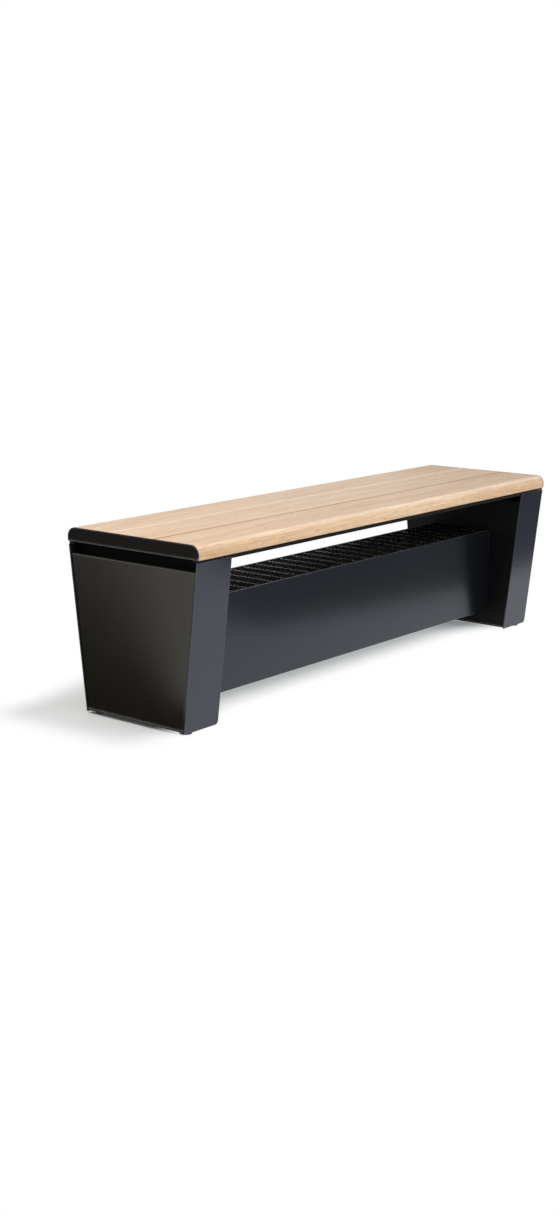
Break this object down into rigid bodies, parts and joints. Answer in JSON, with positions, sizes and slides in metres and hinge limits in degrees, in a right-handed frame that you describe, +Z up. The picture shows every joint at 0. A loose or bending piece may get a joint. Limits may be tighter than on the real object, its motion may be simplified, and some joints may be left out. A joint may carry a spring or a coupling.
{
  "type": "heated bench",
  "caption": "Free-standing heated bench: oak board seat with black end caps on two tapered sheet-steel legs, with a convector casing and lift-out bar grille between them.",
  "frame": {"origin": "on the floor under the middle of the seat", "axes": "+X along the seat towards its right end seen from the front, +Y to the back, +Z up"},
  "size_m": [1.5, 0.416, 0.45],
  "materials": {
    "oak": "oiled oak",
    "black_steel": "satin powder coat",
    "slate_steel": "smooth powder coat",
    "charcoal_steel": "smooth powder coat",
    "black_zinc": "black zinc plated",
    "zinc_steel": "zinc plated",
    "magnet_steel": "plain",
    "foot_plastic": "matte",
    "fin_aluminium": "as extruded",
    "bush_ceramic": "unglazed",
    "grey_plastic": "matte",
    "black_plastic": "satin",
    "red_plastic": "gloss",
    "black_rubber": "matte"
  },
  "bodies": {
    "bench": {"front_seat_board": "oak", "middle_seat_board": "oak", "back_seat_board": "oak", "left_end_cap": "black_steel", "right_end_cap": "black_steel", "front_seat_rail": "black_steel", "back_seat_rail": "black_steel", "seat_cross_bars": "black_steel", "seat_edge_bars": "black_steel", "left_inner_panel": "black_steel", "right_inner_panel": "black_steel", "left_base_plate": "black_steel", "right_base_plate": "black_steel", "left_top_plate": "black_steel", "right_top_plate": "black_steel", "grille_ledges": "black_steel", "intake_plate": "black_steel", "left_front_leg_strip": "slate_steel", "left_back_leg_strip": "slate_steel", "right_front_leg_strip": "slate_steel", "right_back_leg_strip": "slate_steel", "front_casing_panel": "slate_steel", "back_casing_panel": "slate_steel", "board_screws": "zinc_steel", "panel_hinge_pins": "zinc_steel", "foot_nuts": "zinc_steel", "lid_screws": "zinc_steel", "element_brackets": "zinc_steel", "element_core": "zinc_steel", "cap_screws": "black_zinc", "seat_bolts": "black_zinc", "rail_nuts": "black_zinc", "casing_bolts": "black_zinc", "panel_magnets": "magnet_steel", "heating_element": "fin_aluminium", "ceramic_bushes": "bush_ceramic", "control_box": "grey_plastic", "control_box_lid": "grey_plastic", "thermostat": "grey_plastic", "supply_gland": "grey_plastic", "overheat_cutout": "grey_plastic", "switch_housing": "black_plastic", "base_grommet": "black_rubber", "cable_grommet": "black_rubber", "element_cable": "black_rubber"},
    "left_panel": {"left_end_panel": "charcoal_steel"},
    "right_panel": {"right_end_panel": "charcoal_steel"},
    "grille": {"grille_frame": "black_steel", "grille_blades": "black_steel", "grille_cross_bars": "zinc_steel"},
    "thermostat_dial": {"thermostat_knob": "black_plastic"},
    "rocker": {"switch_rocker": "red_plastic"},
    "left_front_foot": {"left_front_foot_pad": "foot_plastic", "left_front_foot_stud": "zinc_steel"},
    "left_back_foot": {"left_back_foot_pad": "foot_plastic", "left_back_foot_stud": "zinc_steel"},
    "right_front_foot": {"right_front_foot_pad": "foot_plastic", "right_front_foot_stud": "zinc_steel"},
    "right_back_foot": {"right_back_foot_pad": "foot_plastic", "right_back_foot_stud": "zinc_steel"}
  },
  "joints": [
    {"name": "left_panel_tilt", "type": "hinge", "parent": "bench", "child": "left_panel", "pos_m": [-0.7425, 0, 0.0225], "axis": [0, -1, 0], "range_deg": [0, 85]},
    {"name": "right_panel_tilt", "type": "hinge", "parent": "bench", "child": "right_panel", "pos_m": [0.7425, 0, 0.0225], "axis": [0, 1, 0], "range_deg": [0, 85]},
    {"name": "grille_lift", "type": "slide", "parent": "bench", "child": "grille", "axis": [0, 0, 1], "range_m": [0, 0.06]},
    {"name": "thermostat_turn", "type": "hinge", "parent": "bench", "child": "thermostat_dial", "pos_m": [-0.71, -0.034, 0.235], "axis": [1, 0, 0], "range_deg": [0, 270]},
    {"name": "switch_rock", "type": "hinge", "parent": "bench", "child": "rocker", "pos_m": [-0.69, 0.038, 0.235], "axis": [0, -1, 0], "range_deg": [0, 20]},
    {"name": "left_front_foot_screw", "type": "slide", "parent": "bench", "child": "left_front_foot", "axis": [0, 0, -1], "range_m": [0, 0.012]},
    {"name": "left_back_foot_screw", "type": "slide", "parent": "bench", "child": "left_back_foot", "axis": [0, 0, -1], "range_m": [0, 0.012]},
    {"name": "right_front_foot_screw", "type": "slide", "parent": "bench", "child": "right_front_foot", "axis": [0, 0, -1], "range_m": [0, 0.012]},
    {"name": "right_back_foot_screw", "type": "slide", "parent": "bench", "child": "right_back_foot", "axis": [0, 0, -1], "range_m": [0, 0.012]}
  ]
}
